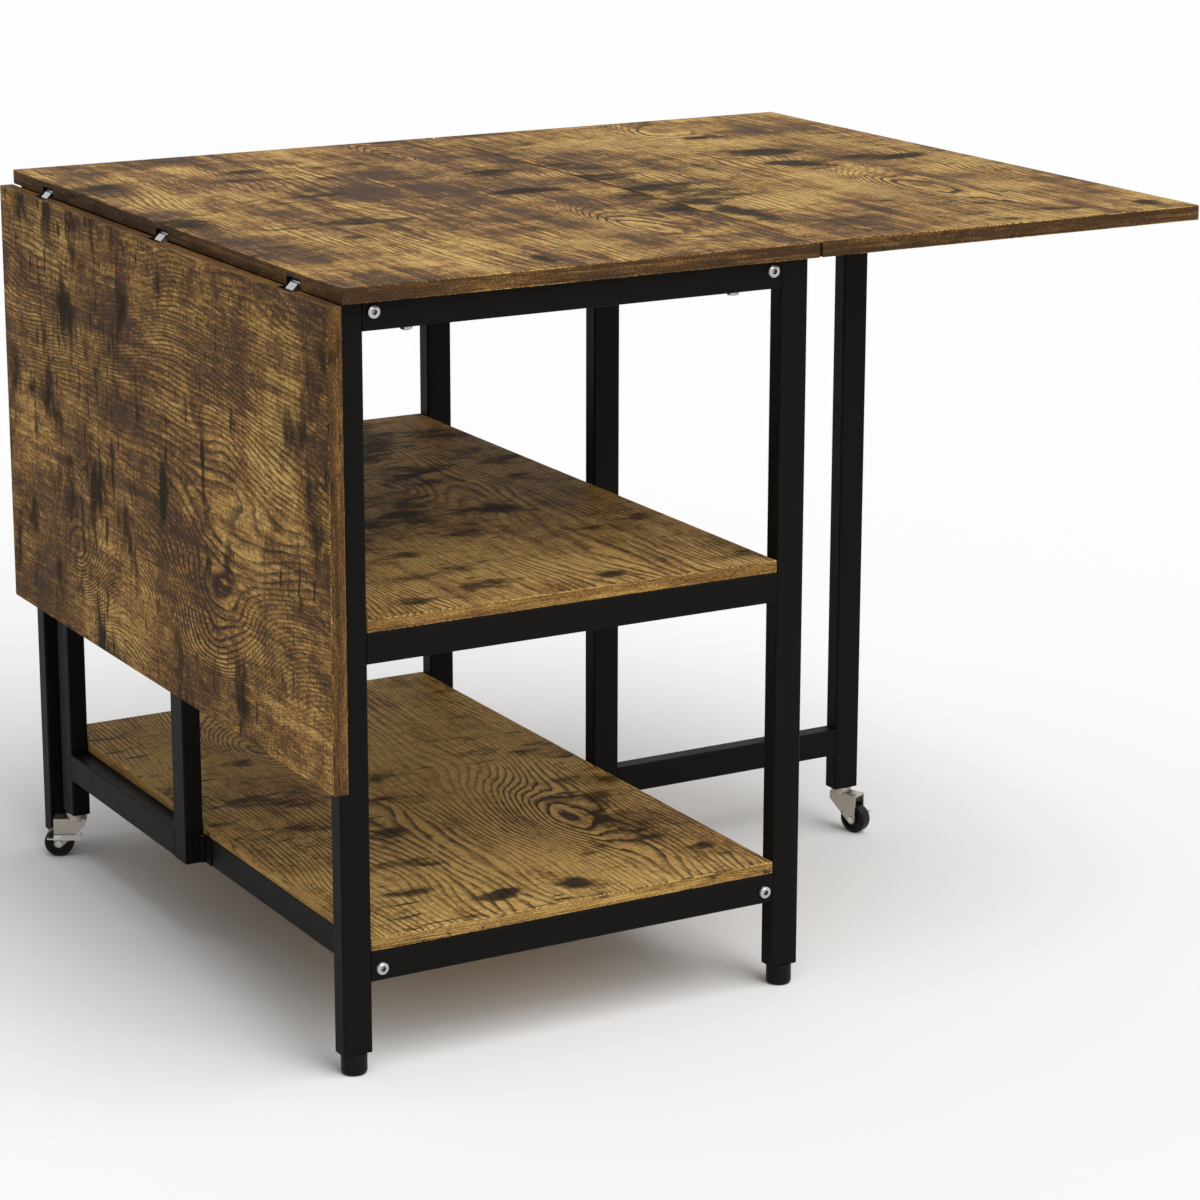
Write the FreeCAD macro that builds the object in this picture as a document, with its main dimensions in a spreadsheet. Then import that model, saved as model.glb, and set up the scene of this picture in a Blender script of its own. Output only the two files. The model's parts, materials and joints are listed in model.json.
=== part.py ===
import FreeCAD, Part
import Sketcher
import os

# Folding dining table with two drop leaves.
# Z is up and the floor is at Z 0. X runs from the hanging left leaf to the raised right leaf,
# Y runs from the front of the table to its back. The origin is on the floor under the middle
# of the table as it stands: left leaf down, left gate leg folded, right leaf up on its open gate leg.

SIZES = {
    # Boards
    "table_height": 750,
    "board_depth": 800,
    "board_thick": 15,
    "board_edge_bevel": 0.8,
    "top_width": 500,
    "leaf_width": 450,
    "shelf_thick": 12,
    "top_overhang": 21,
    "seam_gap": 2.5,
    "hang_gap": 0.5,
    # Tube frame
    "tube_wide": 30,
    "tube_narrow": 20,
    "tube_wall": 1.5,
    "tube_round": 2,
    "middle_rail_base": 397,
    "bottom_rail_base": 90,
    "plug_length": 15,
    # Frame bolts and board screws
    "bolt_radius": 4,
    "bolt_grip": 34,
    "bolt_head_radius": 6.5,
    "bolt_head_height": 4,
    "bolt_head_round": 2.5,
    "bolt_socket_radius": 2.9,
    "bolt_socket_depth": 2.2,
    "bolt_offset": 2.5,
    "bolt_hole_play": 0.3,
    "thread_play": 0.05,
    "top_screw_inset": 48,
    "top_screw_radius": 2.5,
    "top_screw_bite": 10,
    "top_screw_head_radius": 6.25,
    "top_screw_head_height": 4,
    "top_screw_head_round": 3,
    "shelf_screw_inset": 60,
    "shelf_screw_radius": 2,
    "shelf_screw_bite": 9,
    "shelf_screw_head_radius": 4.5,
    "shelf_screw_head_height": 3,
    "shelf_screw_access_radius": 6,
    # Levelling feet
    "foot_height": 21,
    "foot_radius": 12.5,
    "foot_sole_round": 3,
    "foot_top_round": 1.5,
    "foot_stud_length": 14,
    # Leaf hinges
    "hinge_end_distance": 100,
    "hinge_pin_inset": 6,
    "hinge_pin_radius": 1.6,
    "hinge_barrel_radius": 2.8,
    "hinge_barrel_play": 0.5,
    "hinge_link_width": 15,
    "hinge_link_thick": 3,
    "hinge_crown": 4.1,
    "hinge_crown_bevel": 3.4,
    "hinge_crown_play": 1,
    "hinge_cup_length": 31,
    "hinge_cup_wall": 1.5,
    "hinge_pin_end_play": 0.2,
    "pin_play": 0.05,
    # Gate legs
    "gate_length": 340,
    "gate_end_gap": 13,
    "gate_rail_gap": 0.5,
    "gate_top_gap": 0.5,
    "gate_leg_base": 50,
    "gate_knuckle_radius": 2.5,
    "gate_pin_radius": 1.3,
    "gate_plate_thick": 1.5,
    "gate_plate_width": 16,
    "gate_plate_margin": 1,
    "gate_knuckle_play": 0.3,
    # Casters
    "left_heading": 152,
    "right_heading": -68,
    "caster_trail": 20,
    "wheel_radius": 16,
    "wheel_width": 14,
    "wheel_tread_round": 2.5,
    "wheel_hub_radius": 6,
    "wheel_rim_inner_radius": 11,
    "wheel_recess_depth": 2,
    "wheel_side_play": 0.75,
    "axle_radius": 2.5,
    "axle_head_radius": 3.4,
    "axle_head_height": 1,
    "race_radius": 11.5,
    "race_thick": 2.5,
    "race_play": 0.3,
    "fork_sheet": 1.5,
    "fork_crown_thick": 2,
    "fork_crown_height": 44,
    "fork_boss_radius": 11,
    "fork_nose": 9,
    "fork_nose_drop": 8,
    "fork_tip_radius": 5,
    "kingpin_radius": 3,
    "kingpin_head_radius": 5,
    "kingpin_head_height": 1.5,
    "brake_rise": 7,
    "brake_strip_height": 6,
    "brake_strip_thick": 1.5,
    "brake_play": 0.3,
    "brake_pivot": 8,
    "brake_pivot_radius": 1.5,
    "brake_pivot_head_radius": 2.8,
    "brake_front": 4,
    "brake_tongue_reach": 15,
    "brake_tongue_width": 6,
    "brake_tongue_round": 2.8,
    "brake_tab_height": 8,
    "brake_tab_width": 5,
}

LEFT, RIGHT = -1, 1
FRONT, REAR = -1, 1
SIDE_NAMES = {LEFT: "left", RIGHT: "right"}
END_NAMES = {FRONT: "front", REAR: "rear"}

doc = FreeCAD.newDocument("folding_table")
sheet = doc.addObject("Spreadsheet::Sheet", "dims")
for row, (alias, value) in enumerate(SIZES.items(), start=1):
    sheet.set(f"A{row}", str(value))
    sheet.setAlias(f"A{row}", alias)
doc.recompute()


class Size:
    """A length or angle written as a formula on the dimension sheet."""

    def __init__(self, text):
        self.text = str(text)

    def __str__(self):
        return self.text

    def __add__(self, other):
        return Size(f"({self} + {other})")

    def __radd__(self, other):
        return Size(f"({other} + {self})")

    def __sub__(self, other):
        return Size(f"({self} - {other})")

    def __rsub__(self, other):
        return Size(f"({other} - {self})")

    def __mul__(self, other):
        return Size(f"({self} * {other})")

    def __rmul__(self, other):
        return Size(f"({other} * {self})")

    def __truediv__(self, other):
        return Size(f"({self} / {other})")

    def __neg__(self):
        return Size(f"(0 - {self})")


class Sheet:
    """The dimension sheet, with each cell as a Size under its own name."""

    def __getattr__(self, alias):
        return Size(f"dims.{alias}")


d = Sheet()
parts = []

# Shared levels and planes
underside = d.table_height - d.board_thick
mid_x = (d.hang_gap + d.board_thick - d.leaf_width - d.seam_gap) / 2
front_plane = d.top_overhang - d.board_depth / 2
clear_width = d.top_width - 2 * d.tube_wide
top_rail_base = underside - d.tube_wide
bore_wide = d.tube_wide - 2 * d.tube_wall
bore_narrow = d.tube_narrow - 2 * d.tube_wall
side_plane = {side: mid_x + side * d.top_width / 2 for side in (LEFT, RIGHT)}
rail_face = {side: side_plane[side] - side * d.tube_wide for side in (LEFT, RIGHT)}
end_plane = {FRONT: front_plane, REAR: -front_plane}
hinge_places = [d.hinge_end_distance - d.board_depth / 2, Size(0), d.board_depth / 2 - d.hinge_end_distance]


def number(size):
    """The present value of a size."""
    return float(sheet.evalExpression(str(size)))


def bind(thing, **sizes):
    """Ties properties of an object to sizes."""
    for name, size in sizes.items():
        thing.setExpression(name, str(size))
    return thing


def put(thing, at, rotation=None, heading=None):
    """Places an object: a fixed rotation, or a heading about Z that follows the sheet."""
    if rotation is not None:
        thing.Placement = FreeCAD.Placement(FreeCAD.Vector(), rotation)
    for name, size in zip("xyz", at):
        thing.setExpression(f"Placement.Base.{name}", str(size))
    if heading is not None:
        thing.setExpression("Placement.Rotation.Angle", str(heading))
    return thing


def turn(axis, angle):
    """A fixed rotation about an axis, in degrees."""
    return FreeCAD.Rotation(FreeCAD.Vector(*axis), angle)


ALONG = {"x": turn((0, 1, 0), 90), "y": turn((1, 0, 0), -90), "z": turn((0, 0, 1), 0)}
ABOUT_FACE = turn((0, 0, 1), 180)
LEAF_DOWN = turn((1, 0, -1), 180)
LINK_DOWN = turn((0, 1, 0), -45) * ABOUT_FACE


def box(length, width, height, at=(0, 0, 0)):
    """A block with its low corner at a point."""
    return put(bind(doc.addObject("Part::Box", "block"), Length=length, Width=width, Height=height), at)


def rod(radius, length, at=(0, 0, 0), along="z"):
    """A round bar that starts at a point and runs along an axis."""
    bar = bind(doc.addObject("Part::Cylinder", "bar"), Radius=radius, Height=length)
    return put(bar, at, ALONG[along])


def cut(base, tools):
    """A solid with other solids taken out of it."""
    result = doc.addObject("Part::Cut", "cut")
    result.Base = base
    result.Tool = tools[0] if len(tools) == 1 else group(tools)
    return result


def fuse(pieces):
    """Several touching solids joined into one."""
    result = doc.addObject("Part::MultiFuse", "joined")
    result.Shapes = pieces
    return result


def group(pieces):
    """Separate solids kept side by side."""
    result = doc.addObject("Part::Compound", "group")
    result.Links = pieces
    return result


def copy(original, at, rotation=None):
    """Another of the same piece, somewhere else."""
    link = doc.addObject("App::Link", "copy")
    link.LinkedObject = original
    return put(link, at, rotation)


def rounded(base, radius, keep):
    """A solid with some of its edges rounded. keep picks the edges."""
    doc.recompute()
    result = doc.addObject("Part::Fillet", "rounded")
    result.Base = base
    size = number(radius)
    result.Edges = [(i, size, size) for i, edge in enumerate(base.Shape.Edges, start=1) if keep(edge)]
    return result


def eased_block(base, bevel):
    """A block with every edge bevelled."""
    doc.recompute()
    result = doc.addObject("Part::Chamfer", "eased")
    result.Base = base
    size = number(bevel)
    result.Edges = [(i, size, size) for i in range(1, len(base.Shape.Edges) + 1)]
    return result


def runs_along(axis):
    """A test for straight edges that run along an axis."""
    direction = {"x": FreeCAD.Vector(1, 0, 0), "y": FreeCAD.Vector(0, 1, 0), "z": FreeCAD.Vector(0, 0, 1)}[axis]
    return lambda edge: len(edge.Vertexes) == 2 and abs(edge.tangentAt(edge.FirstParameter).dot(direction)) > 0.999


def part(label, thing):
    """Names a finished sub-part."""
    thing.Label = label
    parts.append(thing)
    return thing


def sketch_on(body, role, offset=None):
    """A sketch on one of a body's own origin planes, lifted along the plane's normal by an offset."""
    sketch = body.newObject("Sketcher::SketchObject", "sketch")
    plane = [item for item in body.Origin.OriginFeatures if item.Role == role][0]
    sketch.AttachmentSupport = [(plane, "")]
    sketch.MapMode = "FlatFace"
    if offset is not None:
        sketch.setExpression("AttachmentOffset.Base.z", str(offset))
    return sketch


def fix_point(sketch, line, point, u, v):
    """Holds one point of a sketch at distances from the sketch's origin."""
    for kind, size in (("DistanceX", u), ("DistanceY", v)):
        index = sketch.addConstraint(Sketcher.Constraint(kind, -1, 1, line, point, number(size)))
        sketch.setExpression(f"Constraints[{index}]", str(size))


def outline(body, role, corners):
    """A closed outline of straight lines through corners."""
    sketch = sketch_on(body, role)
    points = [FreeCAD.Vector(number(u), number(v), 0) for u, v in corners]
    lines = [sketch.addGeometry(Part.LineSegment(a, b)) for a, b in zip(points, points[1:] + points[:1])]
    for this, following in zip(lines, lines[1:] + lines[:1]):
        sketch.addConstraint(Sketcher.Constraint("Coincident", this, 2, following, 1))
    for line, (u, v) in zip(lines, corners):
        fix_point(sketch, line, 1, u, v)
    return sketch


def ring(body, role, radius, centre=(0, 0), offset=None):
    """A circle in a sketch."""
    sketch = sketch_on(body, role, offset)
    middle = FreeCAD.Vector(number(Size(centre[0])), number(Size(centre[1])), 0)
    circle = sketch.addGeometry(Part.Circle(middle, FreeCAD.Vector(0, 0, 1), number(radius)))
    fix_point(sketch, circle, 3, Size(centre[0]), Size(centre[1]))
    index = sketch.addConstraint(Sketcher.Constraint("Radius", circle, number(radius)))
    sketch.setExpression(f"Constraints[{index}]", str(radius))
    return sketch


def extrude(body, kind, sketch, length, both_ways=False, backwards=False):
    """A Pad or Pocket of a sketch."""
    feature = body.newObject(f"PartDesign::{kind}", kind.lower())
    feature.Profile = sketch
    feature.Midplane = both_ways
    feature.Reversed = backwards
    return bind(feature, Length=length)


def spun(corners, role="XZ_Plane"):
    """A body turned about its upright axis from half of its outline, given as radius and height."""
    body = doc.addObject("PartDesign::Body", "turned")
    sketch = outline(body, role, corners)
    feature = body.newObject("PartDesign::Revolution", "revolution")
    feature.Profile = sketch
    feature.ReferenceAxis = (sketch, ["V_Axis"])
    feature.Angle = 360
    return body


def eased(radius, height, run, rise):
    """The corner of a turned outline eased by two bevels that follow a quarter round.
    run is along the flat that leads to the corner, rise along the side that leads on from it."""
    share = 1 - Size("sqrt(0.5)")
    return [(radius - run, height), (radius - run * share, height + rise * share), (radius, height + rise)]


def mirrored(side, near, thick):
    """The low X of a slab that starts at a distance outward from X 0 and is so thick."""
    return Size(near) if side == RIGHT else -(Size(near) + thick)


# Tubes

def tube(sizes, axis, holes=()):
    """A rectangular tube with rounded outer corners, open at both ends, along one axis."""
    solid = rounded(box(*sizes), d.tube_round, runs_along(axis))
    inner, start = [], []
    for name, size in zip("xyz", sizes):
        through = name == axis
        inner.append(size + 2 * d.tube_wall if through else size - 2 * d.tube_wall)
        start.append(-d.tube_wall if through else d.tube_wall)
    return cut(solid, [box(*inner, at=start), *holes])


def frame_leg(side, end):
    """An upright of the front or rear frame."""
    leg = tube((d.tube_wide, d.tube_narrow, underside - d.foot_height), "z")
    x = side_plane[side] - (d.tube_wide if side == RIGHT else 0)
    y = end_plane[end] - (d.tube_narrow if end == REAR else 0)
    part(f"{END_NAMES[end]}_{SIDE_NAMES[side]}_leg", put(leg, (x, y, d.foot_height)))


def from_both_ends(inset):
    """Two places along a front or rear rail, at one distance from each of its ends."""
    return inset, clear_width - inset


def bolt_holes(height):
    """Through holes for the two bolts that hold the side rails."""
    radius = d.bolt_radius + d.bolt_hole_play
    return [rod(radius, d.tube_narrow, (x, 0, height), "y") for x in from_both_ends(d.tube_narrow / 2)]


def end_rail(level, end, base, holes):
    """A rail between the two legs of the front or rear frame."""
    rail = tube((clear_width, d.tube_narrow, d.tube_wide), "x", holes)
    y = end_plane[end] - (d.tube_narrow if end == REAR else 0)
    part(f"{END_NAMES[end]}_{level}_rail", put(rail, (rail_face[LEFT], y, base)))


def shelf_screw_holes():
    """For each shelf screw: a wide hole in the lower wall, to pass the head, and a close one above."""
    middle = d.tube_narrow / 2
    holes = []
    for x in from_both_ends(d.shelf_screw_inset):
        holes.append(rod(d.shelf_screw_access_radius, d.tube_wall * 2, (x, middle, -d.tube_wall)))
        holes.append(rod(d.shelf_screw_radius, d.tube_wide, (x, middle, 0)))
    return holes


def top_screw_holes():
    """Holes straight through the rail for the screws that hold the top board."""
    return [rod(d.top_screw_radius, d.tube_wide, (x, d.tube_narrow / 2, 0)) for x in from_both_ends(d.top_screw_inset)]


def build_frame():
    """The two end frames and the four side rails between them."""
    top_bolt = d.tube_wide / 2 + d.bolt_offset
    bottom_bolt = d.tube_wide / 2 - d.bolt_offset
    for end in (FRONT, REAR):
        for side in (LEFT, RIGHT):
            frame_leg(side, end)
        end_rail("top", end, top_rail_base, bolt_holes(top_bolt) + top_screw_holes())
        end_rail("middle", end, d.middle_rail_base, shelf_screw_holes())
        end_rail("bottom", end, d.bottom_rail_base, bolt_holes(bottom_bolt) + shelf_screw_holes())
    length = d.board_depth - 2 * d.top_overhang - 2 * d.tube_narrow
    for side in (LEFT, RIGHT):
        x = rail_face[side] - (d.tube_narrow if side == RIGHT else 0)
        for level, base in (("top", top_rail_base), ("bottom", d.bottom_rail_base)):
            rail = tube((d.tube_narrow, length, d.tube_wide), "y")
            part(f"{SIDE_NAMES[side]}_{level}_rail", put(rail, (x, front_plane + d.tube_narrow, base)))


# Fasteners and feet

def plug(hole_offset):
    """A threaded block that fills the end of a tube, upright, wide way along X."""
    block = box(bore_wide, bore_narrow, d.plug_length, (-bore_wide / 2, -bore_narrow / 2, 0))
    return cut(block, [rod(d.bolt_radius + d.thread_play, d.plug_length, (hole_offset, 0, 0))])


def button_bolt():
    """A socket button-head bolt, upright, head down, seat at Z 0."""
    rim = -d.bolt_head_height
    body = spun([
        (Size(0), rim), *eased(d.bolt_head_radius, rim, d.bolt_head_round, d.bolt_head_round),
        (d.bolt_head_radius, Size(0)), (d.bolt_radius, Size(0)), (d.bolt_radius, d.bolt_grip), (Size(0), d.bolt_grip),
    ])
    socket = doc.addObject("Part::Prism", "socket")
    socket.Polygon = 6
    bind(socket, Circumradius=d.bolt_socket_radius, Height=d.bolt_socket_depth)
    put(socket, (0, 0, rim))
    return cut(body, [socket])


def wood_screw(radius, length, head):
    """A wood screw, upright, head down, seat at Z 0. head is the outline of its head, from the axis to the rim."""
    return spun([*head, (head[-1][0], Size(0)), (radius, Size(0)), (radius, length), (Size(0), length)])


def build_fasteners():
    """Bolts and plugs of the side rails, and the screws of the top board and shelves."""
    bolt = button_bolt()
    plugs = {"top": plug(d.bolt_offset), "bottom": plug(-d.bolt_offset)}
    bolts, rail_plugs = [], []
    levels = {
        "top": (top_rail_base + d.tube_wide / 2, d.bolt_offset),
        "bottom": (d.bottom_rail_base + d.tube_wide / 2, -d.bolt_offset),
    }
    for side in (LEFT, RIGHT):
        x = rail_face[side] - side * d.tube_narrow / 2
        for end in (FRONT, REAR):
            inward = turn((1, 0, 0), 90 * end)
            for level, (middle, offset) in levels.items():
                bolts.append(copy(bolt, (x, end_plane[end], middle + offset), inward))
                low_y = end_plane[end] - end * d.tube_narrow - (d.plug_length if end == REAR else 0)
                rail_plugs.append(copy(plugs[level], (x, low_y, middle), turn((1, 1, 1), -120)))
    part("frame_bolts", group(bolts))
    part("rail_end_plugs", group(rail_plugs))

    dome = [(Size(0), -d.top_screw_head_height), *eased(d.top_screw_head_radius, -d.top_screw_head_height,
                                                        d.top_screw_head_round, d.top_screw_head_round)]
    top_screw = wood_screw(d.top_screw_radius, d.tube_wide + d.top_screw_bite, dome)
    pan = [(Size(0), -d.shelf_screw_head_height), (d.shelf_screw_head_radius, -d.shelf_screw_head_height)]
    shelf_screw = wood_screw(d.shelf_screw_radius, d.tube_wall + d.shelf_screw_bite, pan)
    top_screws, shelf_screws = [], []
    for end in (FRONT, REAR):
        y = end_plane[end] - end * d.tube_narrow / 2
        for inset in from_both_ends(d.top_screw_inset):
            top_screws.append(copy(top_screw, (rail_face[LEFT] + inset, y, top_rail_base)))
        for inset in from_both_ends(d.shelf_screw_inset):
            for base in (d.middle_rail_base, d.bottom_rail_base):
                seat = base + d.tube_wide - d.tube_wall
                shelf_screws.append(copy(shelf_screw, (rail_face[LEFT] + inset, y, seat)))
    part("top_board_screws", group(top_screws))
    part("shelf_screws", group(shelf_screws))


def build_feet():
    """Four round levelling feet, and the plugs in the legs that take their studs."""
    foot_plug = plug(Size(0))
    plugs = []
    for end in (FRONT, REAR):
        for side in (LEFT, RIGHT):
            place = (side_plane[side] - side * d.tube_wide / 2, end_plane[end] - end * d.tube_narrow / 2)
            stud_top = d.foot_height + d.foot_stud_length
            foot = spun([
                (Size(0), Size(0)), *eased(d.foot_radius, Size(0), d.foot_sole_round, d.foot_sole_round),
                *reversed(eased(d.foot_radius, d.foot_height, d.foot_top_round, -d.foot_top_round)),
                (d.bolt_radius, d.foot_height), (d.bolt_radius, stud_top), (Size(0), stud_top),
            ])
            part(f"{END_NAMES[end]}_{SIDE_NAMES[side]}_foot", put(foot, (*place, 0)))
            plugs.append(copy(foot_plug, (*place, d.foot_height)))
    part("foot_plugs", group(plugs))


# Leaf hinges: two pins and a link, with a cup in each board. The pin height makes the leaf hang
# with its top edge just under the top board after the link and the leaf each turn 45 degrees.

link_length = 2 * d.hinge_pin_inset + d.seam_gap
pin_height = link_length / Size("sqrt(2)") - d.hinge_pin_inset - d.hang_gap
cup_reach = d.hinge_barrel_radius + d.hinge_barrel_play + d.hinge_cup_wall
cup_depth = d.hinge_pin_inset + cup_reach
cup_height = pin_height + d.hinge_crown + d.hinge_crown_play + d.hinge_cup_wall


def cup_block(at, rotation=None):
    """The mortise for a hinge cup. It starts at a board's edge and underside and runs into the board along X."""
    block = box(cup_depth, d.hinge_cup_length, cup_height, (0, -d.hinge_cup_length / 2, 0))
    holder = group([block])
    return put(holder, at, rotation)


def hinge_cup():
    """A cup that lines a mortise: two cheeks with pin holes, a back and a roof."""
    block = box(cup_depth, d.hinge_cup_length, cup_height, (0, -d.hinge_cup_length / 2, 0))
    inside = d.hinge_cup_length - 2 * d.hinge_cup_wall
    hollow = box(cup_depth, inside, cup_height, (-d.hinge_cup_wall, -inside / 2, -d.hinge_cup_wall))
    hole = rod(d.hinge_pin_radius + d.pin_play, d.hinge_cup_length,
               (d.hinge_pin_inset, -d.hinge_cup_length / 2, pin_height), "y")
    return cut(block, [hollow, hole])


def hinge_link():
    """A link with a barrel at each end, from the top board's pin at X 0 to the leaf's pin.
    Its crown shows in the corner of the two boards when the leaf hangs."""
    body = doc.addObject("PartDesign::Body", "link")
    ends = [Size(0), link_length]
    low = -d.hinge_link_thick / 2
    shoulder = d.hinge_crown - d.hinge_crown_bevel
    side = outline(body, "XZ_Plane", [
        (Size(0), low), (link_length, low), (link_length, shoulder),
        (link_length - d.hinge_crown_bevel, d.hinge_crown), (d.hinge_crown_bevel, d.hinge_crown), (Size(0), shoulder),
    ])
    extrude(body, "Pad", side, d.hinge_link_width, both_ways=True)
    for x in ends:
        barrel = ring(body, "XZ_Plane", d.hinge_barrel_radius, (x, 0))
        extrude(body, "Pad", barrel, d.hinge_link_width, both_ways=True)
    for x in ends:
        bore = ring(body, "XZ_Plane", d.hinge_pin_radius, (x, 0))
        extrude(body, "Pocket", bore, 2 * d.hinge_link_width, both_ways=True)
    return body


def build_leaf_hinges():
    """Three hinges along each leaf: the left ones hanging, the right ones flat."""
    cup = hinge_cup()
    link = hinge_link()
    pin_length = d.hinge_cup_length - 2 * d.hinge_pin_end_play
    pin = rod(d.hinge_pin_radius, pin_length, (0, -pin_length / 2, 0), "y")
    pin_piece = group([pin])
    top_cups = []
    links = {LEFT: [], RIGHT: []}
    pins = {LEFT: [], RIGHT: []}
    leaf_cups = {LEFT: [], RIGHT: []}
    edge = side_plane
    down = d.hang_gap + d.hinge_pin_inset
    for y in hinge_places:
        top_cups.append(copy(cup, (edge[LEFT], y, underside)))
        top_cups.append(copy(cup, (edge[RIGHT], y, underside), ABOUT_FACE))
        leaf_cups[LEFT].append(copy(cup, (edge[LEFT] - d.hang_gap, y, underside - d.hang_gap), LEAF_DOWN))
        leaf_cups[RIGHT].append(copy(cup, (edge[RIGHT] + d.seam_gap, y, underside)))
        upper = {side: (edge[side] - side * d.hinge_pin_inset, y, underside + pin_height) for side in (LEFT, RIGHT)}
        outer = {
            LEFT: (edge[LEFT] - d.hang_gap - pin_height, y, underside - down),
            RIGHT: (edge[RIGHT] + d.seam_gap + d.hinge_pin_inset, y, underside + pin_height),
        }
        links[LEFT].append(copy(link, upper[LEFT], LINK_DOWN))
        links[RIGHT].append(copy(link, upper[RIGHT]))
        for side in (LEFT, RIGHT):
            pins[side] += [copy(pin_piece, upper[side]), copy(pin_piece, outer[side])]
    part("top_hinge_cups", group(top_cups))
    for side in (LEFT, RIGHT):
        part(f"{SIDE_NAMES[side]}_hinge_links", group(links[side]))
        part(f"{SIDE_NAMES[side]}_hinge_pins", group(pins[side]))
        part(f"{SIDE_NAMES[side]}_leaf_hinge_cups", group(leaf_cups[side]))


# Boards

def board(width, thick, depth, tools=()):
    """A board with bevelled edges, from X 0 and Z 0, centred on Y 0."""
    slab = eased_block(box(width, depth, thick, (0, -depth / 2, 0)), d.board_edge_bevel)
    return cut(slab, list(tools)) if tools else slab


def build_boards():
    """The top board, its two leaves and the two shelves."""
    top_tools = []
    for y in hinge_places:
        top_tools.append(cup_block((0, y, 0)))
        top_tools.append(cup_block((d.top_width, y, 0), ABOUT_FACE))
    for end in (FRONT, REAR):
        y = end_plane[end] - end * d.tube_narrow / 2
        for inset in from_both_ends(d.top_screw_inset):
            top_tools.append(rod(d.top_screw_radius, d.top_screw_bite, (d.tube_wide + inset, y, 0)))
    top = board(d.top_width, d.board_thick, d.board_depth, top_tools)
    part("top_board", put(top, (side_plane[LEFT], 0, underside)))

    left = board(d.leaf_width, d.board_thick, d.board_depth, [cup_block((0, y, 0)) for y in hinge_places])
    place = (side_plane[LEFT] - d.hang_gap, 0, underside - d.hang_gap)
    part("left_leaf", put(left, place, LEAF_DOWN))
    right = board(d.leaf_width, d.board_thick, d.board_depth, [cup_block((0, y, 0)) for y in hinge_places])
    part("right_leaf", put(right, (side_plane[RIGHT] + d.seam_gap, 0, underside)))

    shelf_depth = d.board_depth - 2 * d.top_overhang
    for name, base in (("middle_shelf", d.middle_rail_base), ("bottom_shelf", d.bottom_rail_base)):
        holes = []
        for end in (FRONT, REAR):
            y = end * (shelf_depth - d.tube_narrow) / 2
            for inset in from_both_ends(d.shelf_screw_inset):
                holes.append(rod(d.shelf_screw_radius, d.shelf_screw_bite, (inset, y, 0)))
        shelf = board(clear_width, d.shelf_thick, shelf_depth, holes)
        part(name, put(shelf, (rail_face[LEFT], 0, base + d.tube_wide)))


# Gate legs. Each is drawn folded back along the side rails, with its hinge axis at the origin and
# outward on its own side, then placed on the axis. The right one is turned out under its leaf.

pin_out = d.gate_knuckle_radius
post_near = d.gate_rail_gap - pin_out
post_front = d.gate_knuckle_radius
gate_top = underside - d.gate_top_gap
gate_end = -front_plane - d.tube_narrow - d.gate_end_gap
gate_axis_y = gate_end - d.gate_length - post_front
gate_axis = {side: (rail_face[side] + side * pin_out, gate_axis_y) for side in (LEFT, RIGHT)}
gate_turn = {LEFT: Size(0), RIGHT: Size(-90)}
stem_out = post_near + d.tube_narrow / 2
stem_back = post_front + d.gate_length - d.tube_wide / 2
stem = {
    LEFT: (gate_axis[LEFT][0] - stem_out, gate_axis[LEFT][1] + stem_back),
    RIGHT: (gate_axis[RIGHT][0] + stem_back, gate_axis[RIGHT][1] - stem_out),
}
plate_height = d.tube_wide - 2 * d.gate_plate_margin
knuckle_height = plate_height / 3
gate_hinge_bases = [d.bottom_rail_base + d.gate_plate_margin, top_rail_base + d.gate_plate_margin]


def gate_tube(label, side, back, sizes, axis, base, extra=()):
    """One tube of a gate leg, at a distance back from the hinge axis."""
    local = tube(sizes, axis, extra)
    put(local, (mirrored(side, post_near, sizes[0]), back, base))
    placed = group([local])
    part(label, put(placed, (*gate_axis[side], 0), heading=gate_turn[side]))


def knuckle(base, play):
    """One knuckle of a gate hinge on the axis."""
    return rod(d.gate_knuckle_radius, knuckle_height - 2 * play, (0, 0, base + play))


def frame_plate(side, base):
    """The hinge plate that is welded to a side rail, with the upper and lower knuckles."""
    plate = box(d.gate_plate_thick, d.gate_plate_width, plate_height,
                (mirrored(side, -pin_out, d.gate_plate_thick), -d.gate_plate_width, base))
    slot = box(2 * d.gate_knuckle_radius + 2 * d.gate_knuckle_play, d.gate_knuckle_radius + d.gate_knuckle_play,
               knuckle_height, (-d.gate_knuckle_radius - d.gate_knuckle_play,
                                -d.gate_knuckle_radius - d.gate_knuckle_play, base + knuckle_height))
    pieces = [cut(plate, [slot]), knuckle(base, 0), knuckle(base + 2 * knuckle_height, 0)]
    bore = rod(d.gate_pin_radius + d.pin_play, plate_height, (0, 0, base))
    return cut(fuse(pieces), [bore])


def post_plate(side, base):
    """The hinge plate that is welded to the front of a gate post, with the middle knuckle."""
    height = knuckle_height - 2 * d.gate_knuckle_play
    plate = box(d.gate_plate_width, d.gate_plate_thick, plate_height,
                (mirrored(side, d.gate_knuckle_radius + d.gate_knuckle_play, d.gate_plate_width),
                 post_front - d.gate_plate_thick, base))
    web = box(d.gate_knuckle_radius + 2 * d.gate_knuckle_play, d.gate_plate_thick, height,
              (mirrored(side, 0, d.gate_knuckle_radius + 2 * d.gate_knuckle_play),
               post_front - d.gate_plate_thick, base + knuckle_height + d.gate_knuckle_play))
    bore = rod(d.gate_pin_radius, plate_height, (0, 0, base))
    return cut(fuse([plate, web, knuckle(base + knuckle_height, d.gate_knuckle_play)]), [bore])


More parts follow.
